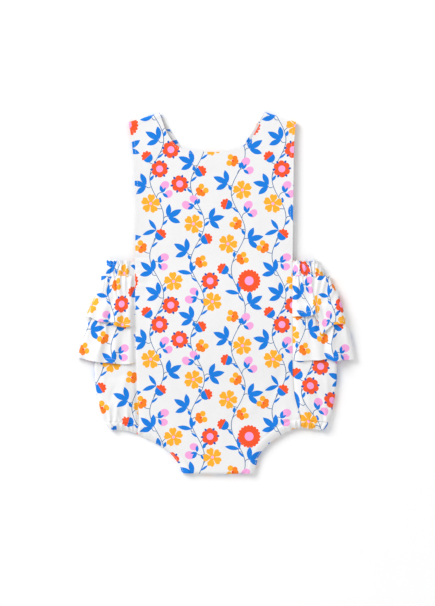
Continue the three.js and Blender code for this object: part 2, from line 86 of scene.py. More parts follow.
FRONT_EDGES = Table(
    "y left right",
    (196, -95.4, 87.6),
    (185, -94.3, 86.5),
    (160, -90.8, 84.6),
    (125, -88.2, 83.9),
    (80, -87.2, 83.3),
    (34, -87.5, 82.9),
    (-50, -87.0, 82.7),
    (-105, -85.2, 84.2),
    (-137, -83.6, 91.5),
    (-152, -83.0, 92.5),
)
BODY_FOLDS = Table(
    "y left right",
    (34, -116.5, 107.5),
    (29, -117.6, 111.8),
    (18, -119.4, 116.4),
    (0, -122.6, 120.2),
    (-30, -127.4, 125.4),
    (-60, -130.4, 129.6),
    (-90, -131.3, 130.8),
    (-112, -128.4, 128.4),
    (-127, -124.4, 125.2),
    (-139, -119.0, 121.0),
    (-148, -113.6, 116.6),
)
UPPER_FOLDS = Table(
    "y left right",
    (14, -123.4, 122.4),
    (3, -127.0, 129.6),
    (-11, -134.2, 135.4),
    (-26, -141.7, 139.8),
)
LOWER_FOLDS = Table(
    "y left right",
    (-18, -131.6, 130.8),
    (-27, -134.8, 134.6),
    (-38, -139.4, 142.6),
    (-54, -145.3, 147.2),
    (-70, -150.7, 150.7),
)

# Heights of the outer faces, front and underside
FACE = Table("y z", (196, 6.2), (40, 6.2), (14, 7.6), (0, 8.0), (-72, 8.0), (-96, 6.4), (-196, 6.4))
UNDERSIDE = Table(
    "y z",
    (34, 0), (18, 1.0), (15, 1.6), (-10, 1.6), (-16, 3.2), (-31, 3.2), (-40, 1.6), (-73, 1.6), (-88, 0), (-196, 0),
)
LOWER_UNDERSIDE = Table("y z", (-18, 1.6), (-31, 1.6), (-40, 0), (-80, 0))
UPPER_STEP = Table("y z", (14, 1.6), (-9, 1.6), (-16, 4.3), (-40, 4.3))

# Hems of the tiers from a front seam (at 0) to the side fold (at 1), and how far their folds lift them
UPPER_HEM = {
    "left": Table(
        "at y lift",
        (0, -35.6, 0), (0.14, -36.2, 1.6), (0.3, -36.8, 0.2), (0.44, -35.0, 3.2),
        (0.58, -31.8, 0.6), (0.72, -31.2, 2.4), (0.86, -29.8, 0.2), (1, -26.0, 0),
    ),
    "right": Table(
        "at y lift",
        (0, -25.6, 0), (0.14, -25.0, 1.2), (0.28, -25.6, 0.3), (0.4, -24.2, 1.8), (0.49, -23.2, 4.2),
        (0.53, -29.0, 0.2), (0.6, -43.0, 0.6), (0.66, -42.4, 1.0), (0.84, -34.6, 0.8), (1, -33.6, 0),
    ),
}
LOWER_HEM = {
    "left": Table(
        "at y lift",
        (0, -75.0, 0), (0.13, -76.4, 1.8), (0.28, -76.8, 0.2), (0.42, -75.6, 2.6),
        (0.57, -75.2, 0.4), (0.7, -74.2, 3.0), (0.86, -72.6, 0.6), (1, -70.0, 0),
    ),
    "right": Table(
        "at y lift",
        (0, -72.6, 0), (0.16, -73.2, 1.2), (0.32, -72.6, 0.2), (0.47, -72.4, 2.2),
        (0.6, -71.0, 0.4), (0.7, -73.4, 3.0), (0.86, -72.4, 0.6), (1, -72.0, 0),
    ),
}
UPPER_BACK_HEM, LOWER_BACK_HEM = -25.4, -70.0
UPPER_TOP, LOWER_TOP = 18.4, -18.0
UPPER_THINNED = 1.5  # how much lower the upper tier is where it is sewn to the casing
TIER_STRIP = 462  # length of the strip that a tier is gathered from

# Leg openings from the crotch corner to the side fold: the seam of the band, and its free edge
LEG_SEAM = {
    "left": [
        (-28.0, -195.0), (-30.3, -184.5), (-37.5, -173.2), (-47.2, -163.0), (-60.8, -154.6),
        (-72.5, -148.5), (-83.3, -143.3), (-94.3, -140.4), (-105.6, -139.2), (-115.8, -139.0),
    ],
    "right": [
        (32.2, -195.0), (34.4, -184.8), (37.4, -173.0), (44.0, -163.0), (52.6, -154.9),
        (62.4, -147.6), (76.2, -139.8), (91.4, -136.6), (104.4, -138.1), (117.8, -139.0),
    ],
}
LEG_HEM = {
    "left": [
        (-36.9, -194.6), (-39.4, -186.8), (-45.3, -178.3), (-52.9, -170.2), (-65.3, -162.6),
        (-76.1, -156.8), (-86.0, -152.2), (-95.6, -149.3), (-104.0, -148.2), (-110.4, -148.0),
    ],
    "right": [
        (41.2, -194.4), (43.4, -186.6), (45.8, -177.4), (51.0, -169.6), (58.9, -161.7),
        (67.6, -155.4), (79.4, -148.6), (91.6, -145.6), (102.8, -147.0), (113.4, -148.0),
    ],
}
FRONT_SEAM_AT = {"left": 6 / 9, "right": 7 / 9}  # where the front seam meets the band, along it
BAND_DEPTH = 10.4

# Straps: their folds at the top and their ends on the waist casing, from the arm side to the neck side, and how far
# each is lifted where they cross
STRAPS = {
    "left": dict(fold=((-94.3, 185), (-61.2, 195)), end=((14.2, 23), (41.8, 31)), lift=0.0),
    "right": dict(fold=((86.5, 185), (52.6, 196)), end=((-23.6, 23), (-51.2, 31)), lift=1.7),
}
STRAP_CROSSING = dict(y=77.0, half=34.0, ease=12.0)
STRAP_END_LIFT = 2.3  # height of a strap's end on the casing
STRAP_LEVEL = 1.6  # how far past its seam a strap is level with the bib
SHOULDER_SEAM = 7.0  # how far the seam of bib and strap is below the fold
NECKLINE = [
    (-59.0, 188.6), (-54.3, 176.3), (-46.9, 163.9), (-38.0, 157.0), (-24.0, 153.4), (-5.0, 152.4),
    (9.0, 152.8), (21.0, 154.9), (30.5, 158.9), (37.2, 165.6), (44.4, 177.6), (50.4, 189.6),
]

# Where the pieces lie on the printed cloth
ORIGINS = dict(front=(40, 30), back=(12, 96), casing=(33, 120), upper=(71, 55), lower=(26, 128))
# At a seam one piece tucks under the other: how far, over what reach, and how much lower each piece lies there
TUCK, TUCK_REACH = 0.8, 4.0
TUCKED = dict(back=0.95, casing=0.75, lower=0.75, upper=0.5, strap=0.6, band=0.6)
BAND_TUCK = 0.08  # as a share of the band's depth
SEAM_EASE = (0.5, 4.0)  # the distances from a front seam over which the relief of a hip piece sets in
# Puckers at the elastic take in more print than their low relief does, and pull it up
PUCKER_DEPTH, PUCKER_RISE = 2.2, 0.9
# How much longer the flat strips are than the gathered ones
LET_OUT = dict(casing=1.3, band=1.2)

# Gathers: where they start along an edge, their span and number, height, reach from the edge, seed and width
GATHERS = {
    "casing left": (0, 45, 11, 2.4, 40, 11, 1.3),
    "casing right": (0, 45, 11, 2.4, 40, 12, 1.3),
    "casing back": (60, 230, 46, 1.1, 60, 13, 1.6),
    "leg left": (0, 52, 9, 1.5, 34, 21, 2.0),
    "leg right": (0, 46, 9, 1.5, 34, 22, 2.0),
    "leg back": (55, 240, 26, 1.2, 40, 25, 2.6),
    "hip left": (0, 48, 9, 0.8, 20, 23, 1.8),
    "hip right": (0, 46, 9, 0.8, 20, 24, 1.8),
    "hip back": (60, 230, 30, 0.9, 50, 26, 2.8),
    "front left": (0, 46, 6, 1.1, 26, 31, 2.2),
    "front right": (0, 46, 6, 1.1, 26, 32, 2.2),
    "upper left": (0, 62, 14, 1.5, 39.96, 41, 1.5),
    "upper right": (0, 60, 14, 1.5, 39.96, 42, 1.5),
    "upper back": (70, 250, 44, 1.0, 44.4, 43, 2.4),
    "lower left": (0, 62, 13, 1.5, 46.8, 51, 1.5),
    "lower right": (0, 60, 13, 1.5, 46.8, 52, 1.5),
    "lower back": (70, 250, 44, 1.0, 52, 53, 2.4),
    "band left": (0, 150, 34, 1.5, 24, 61, 1.1),
    "band right": (0, 150, 34, 1.5, 24, 62, 1.1),
    "band back": (0, 150, 34, 1.0, 24, 63, 1.4),
}
# The ranges in which the ridges of gathers differ, and how much wider they are at their reach
UNEVEN = dict(place=(-0.34, 0.34), height=(0.55, 1.15), reach=(0.55, 1.3), lean=(-0.18, 0.18), width=(0.8, 1.3))
SPREAD = 0.5
UNDER_SHARE = 0.8  # how high the gathers of the underside are

# Rows of stitches over elastic: how far down each row is, how much of the relief it pinches, and over what width
CASING_ROWS = ((3.0, 0.55, 0.9), (13.6, 0.6, 0.9))
BAND_ROWS = ((0.8, 0.5, 0.8), (8.6, 0.5, 0.8))


def lerp(a, b, t):
    """From a at 0 to b at 1."""
    return a + (b - a) * t


def smooth(x, low, high):
    """0 up to low, 1 from high on, and eased between them."""
    t = np.clip((np.asarray(x, float) - low) / (high - low), 0, 1)
    return t * t * (3 - 2 * t)


def along_curve(points, t):
    """Places on the curve through these points, where t runs from 0 at the first to 1 at the last."""
    p = np.array(points, float)
    s = np.clip(np.asarray(t, float), 0, 1) * (len(p) - 1)
    i = np.minimum(s.astype(int), len(p) - 2)
    w = (s - i)[..., None]
    a, b, c, d = (p[np.clip(i + k, 0, len(p) - 1)] for k in (-1, 0, 1, 2))
    v, u = (c - a) / 2, (d - b) / 2
    return (2 * b - 2 * c + v + u) * w**3 + (-3 * b + 3 * c - 2 * v - u) * w**2 + v * w + b


def run_along(places, axis=0):
    """Lengths from the first place on, along this axis of a row or grid of places."""
    step = np.linalg.norm(np.diff(places, axis=axis), axis=-1)
    return np.concatenate([np.zeros_like(np.take(step, [0], axis)), np.cumsum(step, axis)], axis)


def even_curve(points, t):
    """The same curve, with t as a share of its length."""
    fine = np.linspace(0, 1, 400)
    run = run_along(along_curve(points, fine))
    return along_curve(points, np.interp(t * run[-1], run, fine))


def swell(x, start, full, ending, end):
    """1 between full and ending, eased down to 0 at start and at end."""
    return smooth(x, start, full) * (1 - smooth(x, ending, end))


def face(y):
    """Height of the outer face of the body's front."""
    return FACE.eased("z", "y", y)


CREASE_BOW, CREASE_FADE = 0.12, 1.6  # how much a crease bows, and how fast it fades towards its ends


def creases(x, y, rows):
    """Soft ridges (height above 0) and troughs on a face, from rows of middle, turn, length, width and height."""
    total = np.zeros_like(x)
    for cx, cy, turn, length, width, height in rows:
        c, s = math.cos(math.radians(turn)), math.sin(math.radians(turn))
        u = (x - cx) * c + (y - cy) * s
        v = (y - cy) * c - (x - cx) * s - CREASE_BOW * u * u / length
        total += height * np.exp(-((v / width) ** 2) - CREASE_FADE * (u / (length / 2)) ** 2)
    return total


def gathers(name, run, down):
    """Uneven ridges across a gathered edge, each fading at its own distance below it."""
    start, span, count, height, reach, seed, width = GATHERS[name]
    rng = np.random.default_rng(seed)
    vary = lambda what: rng.uniform(*UNEVEN[what])
    total = np.zeros(np.broadcast(run, down).shape)
    for k in range(count):
        place = start + (k + 0.5 + vary("place")) * span / count
        strength = height * vary("height")
        fade = reach * vary("reach")
        lean = vary("lean")
        w = width * vary("width") * (1 + SPREAD * np.clip(down, 0, None) / reach)
        total += strength * np.exp(-(((run - place - lean * down) / w) ** 2)) * (1 - smooth(down, 0, fade))
    return total


def side_gathers(name, left, right, down):
    """The gathers of both sides, each counted from its own front seam."""
    return gathers(name + " left", left, down) + gathers(name + " right", right, down)


def pinched(down, rows):
    """How much of its relief cloth keeps beside rows of stitches."""
    return 1 - sum(share * np.exp(-(((down - row) / width) ** 2)) for row, share, width in rows)


def normals(places, up):
    """Unit normals of a grid of places. They point out where the grid runs up from left to right."""
    n = np.cross(np.gradient(places, axis=1), np.gradient(places, axis=0))
    n /= np.maximum(np.linalg.norm(n, axis=2, keepdims=True), 1e-9)
    return n if up else -n


def lifted(places, relief, up=True):
    """The places moved out along their normals, and never below the surface that the garment lies on."""
    moved = places + normals(places, up) * relief[..., None]
    moved[..., 2] = np.maximum(moved[..., 2], 0.0)
    return moved


class Cloth:
    """One cut piece of cloth: places of its outer face in rows and columns, where each was on the flat piece, and
    where it was on the printed cloth."""

    def __init__(self, places, cut, printed, up=True, thick=CLOTH):
        self.places, self.cut, self.printed, self.up = places, cut, printed, up
        self.thick = np.full(places.shape[:2], thick)

    def normals(self):
        return normals(self.places, self.up)

    def from_edge(self, edge):
        """How far along the cut each place is from an edge, with that edge as the first row, and what turns any grid
        of the piece that way."""
        axis = 1 if edge in SIDES else 0
        flip = edge in ("bottom", "right")
        turn = lambda grid: np.moveaxis(np.flip(grid, axis) if flip else grid, axis, 0)
        return run_along(turn(self.cut)), turn

    def hem(self, edge, width):
        """Thickens the cloth along an edge."""
        far, turn = self.from_edge(edge)
        thick = turn(self.thick)
        thick[:] = np.maximum(thick, lerp(HEM, CLOTH, smooth(far - width, *HEM_END)))

    def line(self, edge, inset):
        """Places on the outer face along a line that runs beside an edge, and the normals there."""
        far, turn = self.from_edge(edge)
        beside = lambda grid: np.array([
            [np.interp(inset, far[:, k], grid[:, k, i]) for i in range(3)] for k in range(far.shape[1])
        ])
        return beside(turn(self.places)), beside(turn(self.normals()))

    def mesh(self, name):
        """A closed thin shell: outer face, inner face and rim."""
        rows, columns = self.places.shape[:2]
        inner = self.places - self.normals() * self.thick[..., None]
        points = np.concatenate([self.places.reshape(-1, 3), inner.reshape(-1, 3)]) * MM
        cuts = np.concatenate([self.printed.reshape(-1, 2)] * 2) * MM
        k = np.arange(rows * columns).reshape(rows, columns)
        outer = np.stack([k[:-1, :-1], k[1:, :-1], k[1:, 1:], k[:-1, 1:]], -1).reshape(-1, 4)
        loop = np.concatenate([k[0, :-1], k[:-1, -1], k[-1, :0:-1], k[:0:-1, 0]])
        onward = np.roll(loop, -1)
        rim = np.stack([loop, onward, onward + k.size, loop + k.size], -1)
        quads = np.concatenate([outer, outer[:, ::-1] + k.size, rim])
        if self.volume(points[quads]) < 0:
            quads = quads[:, ::-1]
        made = bpy.data.meshes.new(name)
        made.from_pydata(points.tolist(), [], quads.tolist())
        layer = made.uv_layers.new(name="cut")
        layer.data.foreach_set("uv", cuts[quads.reshape(-1)].astype(np.float32).ravel())
        made.polygons.foreach_set("use_smooth", np.ones(len(quads), bool))
        made.set_sharp_from_angle(angle=math.radians(60))
        made.update()
        return made

    @staticmethod
    def volume(corners):
        """Six times the volume inside these quads, below 0 where they face inwards."""
        a, b, c, d = corners.transpose(1, 0, 2)
        return (a * (np.cross(b, c) + np.cross(c, d))).sum()

    def flat_size(self):
        """Width, length and area of the cut, in metres."""
        width, length = np.ptp(self.cut.reshape(-1, 2), axis=0) * MM
        across, down = np.diff(self.cut, axis=1), np.diff(self.cut, axis=0)
        cross = lambda p, q: np.abs(p[..., 0] * q[..., 1] - p[..., 1] * q[..., 0])
        area = (cross(across[:-1], down[:, :-1]) + cross(across[1:], down[:, 1:])).sum() / 2
        return width, length, area * MM * MM


class Hips:
    """Columns of a piece that goes round the hips, from the left front seam to the right one."""

    def __init__(self, front, fold, back):
        parts = (("left", front), ("left fold", fold), ("back", back), ("right fold", fold), ("right", front))
        self.part = np.array([name for name, cells in parts for _ in range(cells)] + ["right"])
        self.at = np.array([i / cells for _, cells in parts for i in range(cells)] + [1.0])
        self.middle = front + fold + back // 2
        self.from_seam = np.where(self.part == "left", self.at, np.where(self.part == "right", 1 - self.at, 1.0))

    def places(self, y, folds, top, under, at=None):
        """Places at the heights y (rows by columns) of a section with these folds, this top and this underside."""
        at = self.at if at is None else at
        left, right = folds.eased("left", "y", y), folds.eased("right", "y", y)
        high, low = top(y), under(y)
        r, middle = (high - low) / 2, (high + low) / 2
        seam_left = FRONT_EDGES.eased("left", "y", y) + TUCK
        seam_right = FRONT_EDGES.eased("right", "y", y) - TUCK
        part = np.broadcast_to(self.part, y.shape)
        turn = np.where(part == "left fold", math.pi / 2, -math.pi / 2) + at * math.pi
        x = np.select(
            [part == "left", part == "left fold", part == "back", part == "right fold"],
            [
                lerp(seam_left, left + r, at),
                left + r + r * np.cos(turn),
                lerp(left + r, right - r, at),
                right - r + r * np.cos(turn),
            ],
            lerp(right - r, seam_right, at),
        )
        z = np.select([part == "back", np.char.endswith(part, "fold")], [low, middle + r * np.sin(turn)], high)
        return np.stack([x, y, z], -1)

    def runs(self, places):
        """Lengths along each row from the left front seam, and from the right one."""
        run = run_along(places, 1)
        return run, run[:, -1:] - run

    def mean_runs(self, places):
        """The same as one row, the mean of all."""
        return (run.mean(0, keepdims=True) for run in self.runs(places))

    def across_cut(self, left, right):
        """Places across the flat cut, true to size from the front seams to the folds, with its slack in the back."""
        half = max(left[:, self.middle].max(), right[:, self.middle].max())
        slack = np.where(self.part == "back", 1 - np.abs(2 * self.at - 1), 0)
        across = lambda run: half - run - (half - run[:, self.middle:self.middle + 1]) * slack
        return np.where(np.arange(len(self.at)) < self.middle, across(left), -across(right))


def into_seam(name, left, right, relief, above=0):
    """Relief of a hip piece, eased down into the front seams, where the piece lies under the front's edge."""
    run = np.minimum(left, right)
    return relief * smooth(run, *SEAM_EASE) - (above + TUCKED[name]) * np.exp(-((run / TUCK_REACH) ** 2))


# The waist casing puffs over its elastic, and its upper and lower edges wave with the gathers
CASING_PUFF, CASING_WAVES, WAVE_REACH = 0.7, (0.7, 0.3), 2.0


def waist_casing():
    """The elastic strip round the waist, from one front seam to the other."""
    hips = Hips(front=70, fold=12, back=200)
    y = np.linspace(WAIST_Y, CASING_Y, 21)[:, None] * np.ones(len(hips.at))
    places = hips.places(y, BODY_FOLDS, face, np.zeros_like)
    left, right = hips.runs(places)
    down, up = WAIST_Y - y, y - CASING_Y
    ridges = side_gathers("casing", left, right, down)
    back = gathers("casing back", left, down)
    on_back = hips.part == "back"
    relief = np.where(on_back, -UNDER_SHARE * back, ridges + 0.3 * back) * pinched(down, CASING_ROWS)
    puff = CASING_PUFF * np.sin(np.pi * down / (WAIST_Y - CASING_Y))
    puckered = np.append(places, PUCKER_DEPTH * relief[..., None], axis=2)
    printed_x = hips.across_cut(*hips.mean_runs(puckered)) + 0 * y
    printed = np.stack([printed_x, y + PUCKER_RISE * ridges], -1) + ORIGINS["casing"]
    places = lifted(places, into_seam("casing", left, right, relief + np.where(on_back, 0, puff)))
    cut = np.stack([hips.across_cut(*hips.mean_runs(places)) * LET_OUT["casing"] + 0 * y, y], -1)
    high, low = CASING_WAVES
    places[..., 1] += high * (ridges - 0.5) * np.exp(-down / WAVE_REACH) - low * ridges * np.exp(-up / WAVE_REACH)
    return Cloth(places, cut, printed, thick=ELASTIC_CLOTH)


CROTCH_TURN = float(face(CROTCH_Y)) / 2
TURN_ANGLE = math.radians(86)
CORNER_TURN = 0.4  # how far the panels' ends are turned at the corners of the crotch
LEVEL_TO = -120.0  # the panels' rows are level down to here, and fan out below
# Steps across a panel at its ends: in all, along a leg opening, along a shoulder, and between the legs
STEPS, LEG_STEPS, SHOULDER_STEPS = 22, 8, 4
CROTCH_STEPS = STEPS - 2 * LEG_STEPS


def leg_end(side, t):
    """Where a panel ends along a leg opening: its places, and how far it is turned there."""
    x, y = np.moveaxis(along_curve(LEG_SEAM[side], t), -1, 0)
    return x, y, np.zeros_like(x)


def crotch_end(at):
    """The same between the legs."""
    (x0, y0), (x1, _) = LEG_SEAM["left"][0], LEG_SEAM["right"][0]
    bow = 4 * at * (1 - at)
    return lerp(x0, x1, at), lerp(y0, CROTCH_Y, bow), lerp(CORNER_TURN, 1, smooth(bow, 0, 0.55))


def panel_rows(level, low_rows, turn_rows, end_y):
    """Heights of a panel's rows, which are level and then fan out to its end, and how far each has turned."""
    start = end_y + CROTCH_TURN
    fan = np.linspace(0, 1, low_rows + 1)[1:, None]
    turn = np.linspace(0, 1, turn_rows + 1)[1:, None]
    y = np.concatenate([
        level[:, None] * np.ones_like(end_y), lerp(level[-1], start, fan), lerp(start, end_y, turn)
    ])
    share = np.concatenate([np.zeros((len(level) + low_rows, 1)), turn]) * np.ones_like(end_y)
    return y, share


def turn_end(places, share, end_turn, up):
    """Turns the end of a panel through a quarter circle at the crotch."""
    angle = share * TURN_ANGLE
    places[..., 1] += end_turn * CROTCH_TURN * (share - np.sin(angle))
    places[..., 2] -= up * end_turn * CROTCH_TURN * (1 - np.cos(angle))


# The panels puff up: by how much, and between which distances below the middle
HIP_PUFF, HIP_PUFF_SPAN = 2.4, (76, 100, 118, 140)
FRONT_PUFF, FRONT_PUFF_SPAN = 1.2, (-20, 30, 90, 150)


def back_panel():
    """The back, which turns round both side folds to the front seams."""
    hips = Hips(front=60, fold=10, back=110)
    part, at = hips.part, hips.at
    on_back, on_fold = part == "back", np.char.endswith(part, "fold")
    ends = np.zeros((3, len(at)))
    way = np.zeros(len(at))  # along the leg opening: over the front, round the fold, and back under it
    leg_share = LEG_STEPS / STEPS
    for side, share in (("left", at), ("right", 1 - at)):
        front, fold, leg = part == side, part == side + " fold", on_back & (share < leg_share)
        along = lerp(FRONT_SEAM_AT[side], 1, share[front])
        ends[:, front] = leg_end(side, along)
        ends[:, fold] = np.stack(leg_end(side, 1.0))[:, None]
        ends[:, leg] = leg_end(side, 1 - share[leg] / leg_share)
        way[front], way[fold], way[leg] = along, 1 + share[fold], 2 + share[leg] / leg_share
    middle = on_back & (at >= leg_share) & (at <= 1 - leg_share)
    ends[:, middle] = crotch_end((at[middle] - leg_share) * STEPS / CROTCH_STEPS)
    end_x, end_y, end_turn = ends

    top = CASING_Y - SEAM
    y, share = panel_rows(np.linspace(top, LEVEL_TO, 72), 26, 6, end_y)
    level = lambda y, at: hips.places(y, BODY_FOLDS, face, lambda y: UNDERSIDE.eased("z", "y", y), at)
    low, high = (level(end_y[None], np.full_like(at, v))[0, :, 0] for v in (0.0, 1.0))
    end_at = np.where(on_fold, at, (end_x - low) / np.where(on_fold, 1, high - low))
    slide = np.clip((top - y) / (top - end_y), 0, 1) ** 2
    places = level(y, np.where(on_fold, at, lerp(at, end_at, slide)))
    turned = places.copy()
    turn_end(turned, share, end_turn, -1)
    places = np.where(on_back[None, :, None], turned, places)

    x = places[..., 0]
    left, right = hips.runs(places)
    from_leg, from_top = np.maximum(y - end_y, 0), top - y
    puckers = side_gathers("leg", left, right, from_leg)
    relief = puckers + side_gathers("hip", left, right, from_top) + creases(x, y, HIP_CREASES)
    under = gathers("leg back", left, from_leg) + gathers("hip back", left, from_top)
    beside_crotch = np.where(from_top < 60, 1, smooth(np.abs(x - 2), 40, 60))
    puff = HIP_PUFF * swell(-y, *HIP_PUFF_SPAN) * np.sin(np.pi * lerp(0.1, 1, hips.from_seam))
    relief = into_seam("back", left, right, np.where(on_back, -under * beside_crotch, relief + puff))
    across = hips.across_cut(*hips.runs(places * (1, 0, 1)))
    printed = np.stack([across, y + np.where(on_back, 0, PUCKER_RISE * puckers)], -1) + ORIGINS["back"]
    cloth = Cloth(lifted(places, relief), np.stack([across, y], -1), printed)
    halves = np.arange(len(at)) < hips.middle, np.arange(len(at)) > hips.middle
    cloth.leg_ways = {side: (way[half], across[-1, half]) for side, half in zip(SIDES, halves)}
    return cloth


# Creases of the hips below the tiers: middle, turn, length, width, height
HIP_CREASES = [
    (-100, -104, 78, 44, 3.6, 0.9),
    (-113, -112, 68, 34, 3.0, -0.8),
    (-92, -118, 100, 30, 2.8, 0.7),
    (-122, -98, 84, 30, 3.0, 0.7),
    (-106, -90, 10, 30, 3.4, -0.5),
    (98, -102, 100, 44, 3.6, 0.9),
    (110, -110, 112, 36, 3.0, -0.9),
    (120, -100, 96, 34, 3.0, 0.8),
    (92, -120, 80, 26, 2.6, 0.8),
    (104, -88, 170, 28, 3.2, -0.5),
]

# Creases of the front: at the gathers beside the waist, between the legs, and faint ones on the bib
FRONT_CREASES = [
    (-74, 12, 78, 44, 4.5, -0.45),
    (-66, -22, 84, 60, 6.0, 0.5),
    (-70, -58, 96, 50, 5.0, -0.6),
    (-52, -96, 118, 60, 6.0, 0.5),
    (-38, -128, 128, 52, 5.0, -0.5),
    (-12, -160, 96, 44, 5.5, 0.45),
    (18, -150, 84, 54, 6.0, -0.5),
    (42, -118, 58, 60, 5.5, 0.5),
    (66, -96, 70, 46, 4.5, -0.6),
    (72, -40, 92, 56, 5.5, 0.5),
    (70, 10, 100, 46, 4.5, -0.5),
    (-20, -40, 100, 80, 9.0, 0.4),
    (24, 20, 82, 90, 9.0, -0.35),
    (-48, 70, 86, 80, 8.0, 0.35),
    (40, 96, 95, 90, 8.0, 0.35),
    (0, 128, 178, 80, 8.0, -0.3),
    (-70, 150, 74, 50, 5.0, 0.35),
    (68, 156, 104, 46, 5.0, -0.35),
]


def shoulder_seam(side, at):
    """Points on the seam of bib and strap, from the arm side (0) to the neck side (1)."""
    (ox, oy), (ix, iy) = STRAPS[side]["fold"]
    outward = -1 if side == "left" else 1
    return lerp(ox - outward * 0.9, ix - outward * 2.2, at), lerp(oy, iy + 0.6, at) - SHOULDER_SEAM


# The bib's sides curl up: by how much, between which heights, and over what share of its width
CURL, CURL_SPAN, CURL_SHARE = 0.9, (40, 74, 140, 176), 0.16
# The body's sides ripple: from which places inwards, by how much at the waist, and how fast
RIPPLES_FROM = dict(left=-83.4, right=91.0)
RIPPLE, RIPPLE_TURNS = 0.5, (0.9, 0.21)
SEAM_DIP = 0.4  # how much the front's edges dip at the front seams


def front_panel():
    """The bib, body front and crotch in one piece, from the shoulder seams to the crotch."""
    k = np.linspace(0, STEPS, 133)
    tops, ends = np.zeros((2, len(k))), np.zeros((3, len(k)))
    for side, steps in zip(SIDES, (k, STEPS - k)):
        shoulder, leg = steps <= SHOULDER_STEPS, steps < LEG_STEPS
        tops[:, shoulder] = shoulder_seam(side, steps[shoulder] / SHOULDER_STEPS)
        ends[:, leg] = leg_end(side, FRONT_SEAM_AT[side] * (1 - steps[leg] / LEG_STEPS))
    from_side = np.minimum(k, STEPS - k)
    neck, crotch = from_side > SHOULDER_STEPS, from_side >= LEG_STEPS
    tops[:, neck] = even_curve(NECKLINE, (k[neck] - SHOULDER_STEPS) / (STEPS - 2 * SHOULDER_STEPS)).T
    ends[:, crotch] = crotch_end((k[crotch] - LEG_STEPS) / CROTCH_STEPS)
    top_x, top_y = tops
    end_x, end_y, end_turn = ends

    edges = lambda y: (FRONT_EDGES.eased("left", "y", y) + SEAM / 2, FRONT_EDGES.eased("right", "y", y) - SEAM / 2)
    share_of = lambda x, y: np.clip((x - edges(y)[0]) / (edges(y)[1] - edges(y)[0]), 0, 1)
    evenly = k / STEPS
    t = np.linspace(0, 1, 84)[:-1, None]
    bib_y = lerp(top_y, WAIST_Y, t)
    body_y, turn = panel_rows(np.linspace(WAIST_Y, LEVEL_TO, 78), 34, 6, end_y)
    slide = np.clip((WAIST_Y - body_y) / (WAIST_Y - end_y), 0, 1) ** 2
    y = np.concatenate([bib_y, body_y])
    share = np.concatenate([
        lerp(share_of(top_x, top_y), evenly, t), lerp(evenly, share_of(end_x, end_y), slide)
    ])
    turn = np.concatenate([np.zeros_like(bib_y), turn])
    left, right = edges(y)
    x = lerp(left, right, share)
    to_side = np.minimum(share, 1 - share)
    curl = CURL * swell(y, *CURL_SPAN) * np.clip(1 - to_side / CURL_SHARE, 0, 1) ** 2
    places = np.stack([x, y, face(y) + curl], -1)
    turn_end(places, turn, end_turn, 1)

    from_leg = np.maximum(y - end_y, 0)
    relief = creases(x, y, FRONT_CREASES)
    for side, sign in zip(SIDES, (1, -1)):
        run = (x - RIPPLES_FROM[side]) * sign
        relief += gathers("front " + side, run, from_leg) * (1 - smooth(run, 26, 60))
        waist = swell(y, -14, 20, 32, 66) * np.exp(-np.clip(run, 0, None) / 9)
        fast, slow = RIPPLE_TURNS
        relief += RIPPLE * np.sin(y * fast + 2 * np.sin(y * slow)) * waist
    relief += FRONT_PUFF * swell(-y, *FRONT_PUFF_SPAN) * np.sin(np.pi * share) ** 0.7
    relief -= SEAM_DIP * np.exp(-((to_side * (right - left)) ** 2)) * smooth(WAIST_Y - y, -2, 4)
    cut = np.stack([x, y], -1)
    cloth = Cloth(lifted(places, relief * (1 - turn), up=False), cut, cut + ORIGINS["front"], up=False)
    cloth.hem("top", BIB_HEM)
    plain = cloth.thick.copy()
    for side in SIDES:
        cloth.hem(side, BIB_HEM)
    cloth.thick = lerp(plain, cloth.thick, smooth(y, WAIST_Y - 2, WAIST_Y + 4))
    return cloth


# Creases of the tiers beyond their gathers
UPPER_CREASES = [
    (110, -14, 97, 30, 2.6, 1.2),
    (116, -24, 100, 26, 2.2, -1.0),
    (-104, -26, 78, 24, 4.0, 0.9),
    (-122, -18, 66, 26, 3.4, 0.8),
]
LOWER_CREASES = [
    (118, -50, 86, 30, 2.2, -1.2),
    (125, -52, 80, 34, 3.6, 1.2),
    (108, -58, 100, 26, 4.0, 0.8),
    (-108, -58, 82, 30, 3.6, 1.1),
    (-124, -56, 70, 30, 3.0, 0.9),
]


# A tier's outer corners droop where nothing carries them, by a share of their height and over a reach
DROOP, DROOP_REACH = 0.34, 12.0


def ruffle(name, top_y, folds, carried_by, above, under, hem, back_hem, folded):
    """A tier, gathered at its top and folded at its hem, so far above the body. Past the folds of the piece that
    carries it, it droops."""
    hips = Hips(front=120, fold=16, back=90)
    on_left = np.arange(len(hips.at)) < hips.middle
    at_hem = lambda column: np.where(on_left, *(hem[side].eased(column, "at", hips.from_seam) for side in SIDES))
    on_back, on_front = hips.part == "back", np.isin(hips.part, SIDES)
    near = np.linspace(0, 1, 42)[:, None]  # how near a row is to the hem
    y = lerp(top_y, np.where(on_back, back_hem, at_hem("y")), near)
    places = hips.places(y, folds, lambda y: face(y) + above(y), under)
    x = places[..., 0]
    past = np.maximum(carried_by.eased("left", "y", y) - x, x - carried_by.eased("right", "y", y))
    places[..., 2] *= 1 - DROOP * smooth(past, 0, DROOP_REACH) * near**2
    left, right = hips.runs(places)
    down = top_y - y
    ridges = side_gathers(name, left, right, down) + creases(x, y, folded)
    ridges += np.where(on_front, np.maximum(at_hem("lift"), 0), 0) * near**1.8
    relief = np.where(on_back, -UNDER_SHARE * gathers(name + " back", left, down), ridges)
    share = left / left[:, -1:]
    cut = np.stack([hips.across_cut(share, 1 - share) * TIER_STRIP, y], -1)
    relief = into_seam(name, left, right, relief, above(y))
    cloth = Cloth(lifted(places, relief), cut, cut + ORIGINS[name])
    cloth.hem("bottom", TIER_HEM)
    return cloth


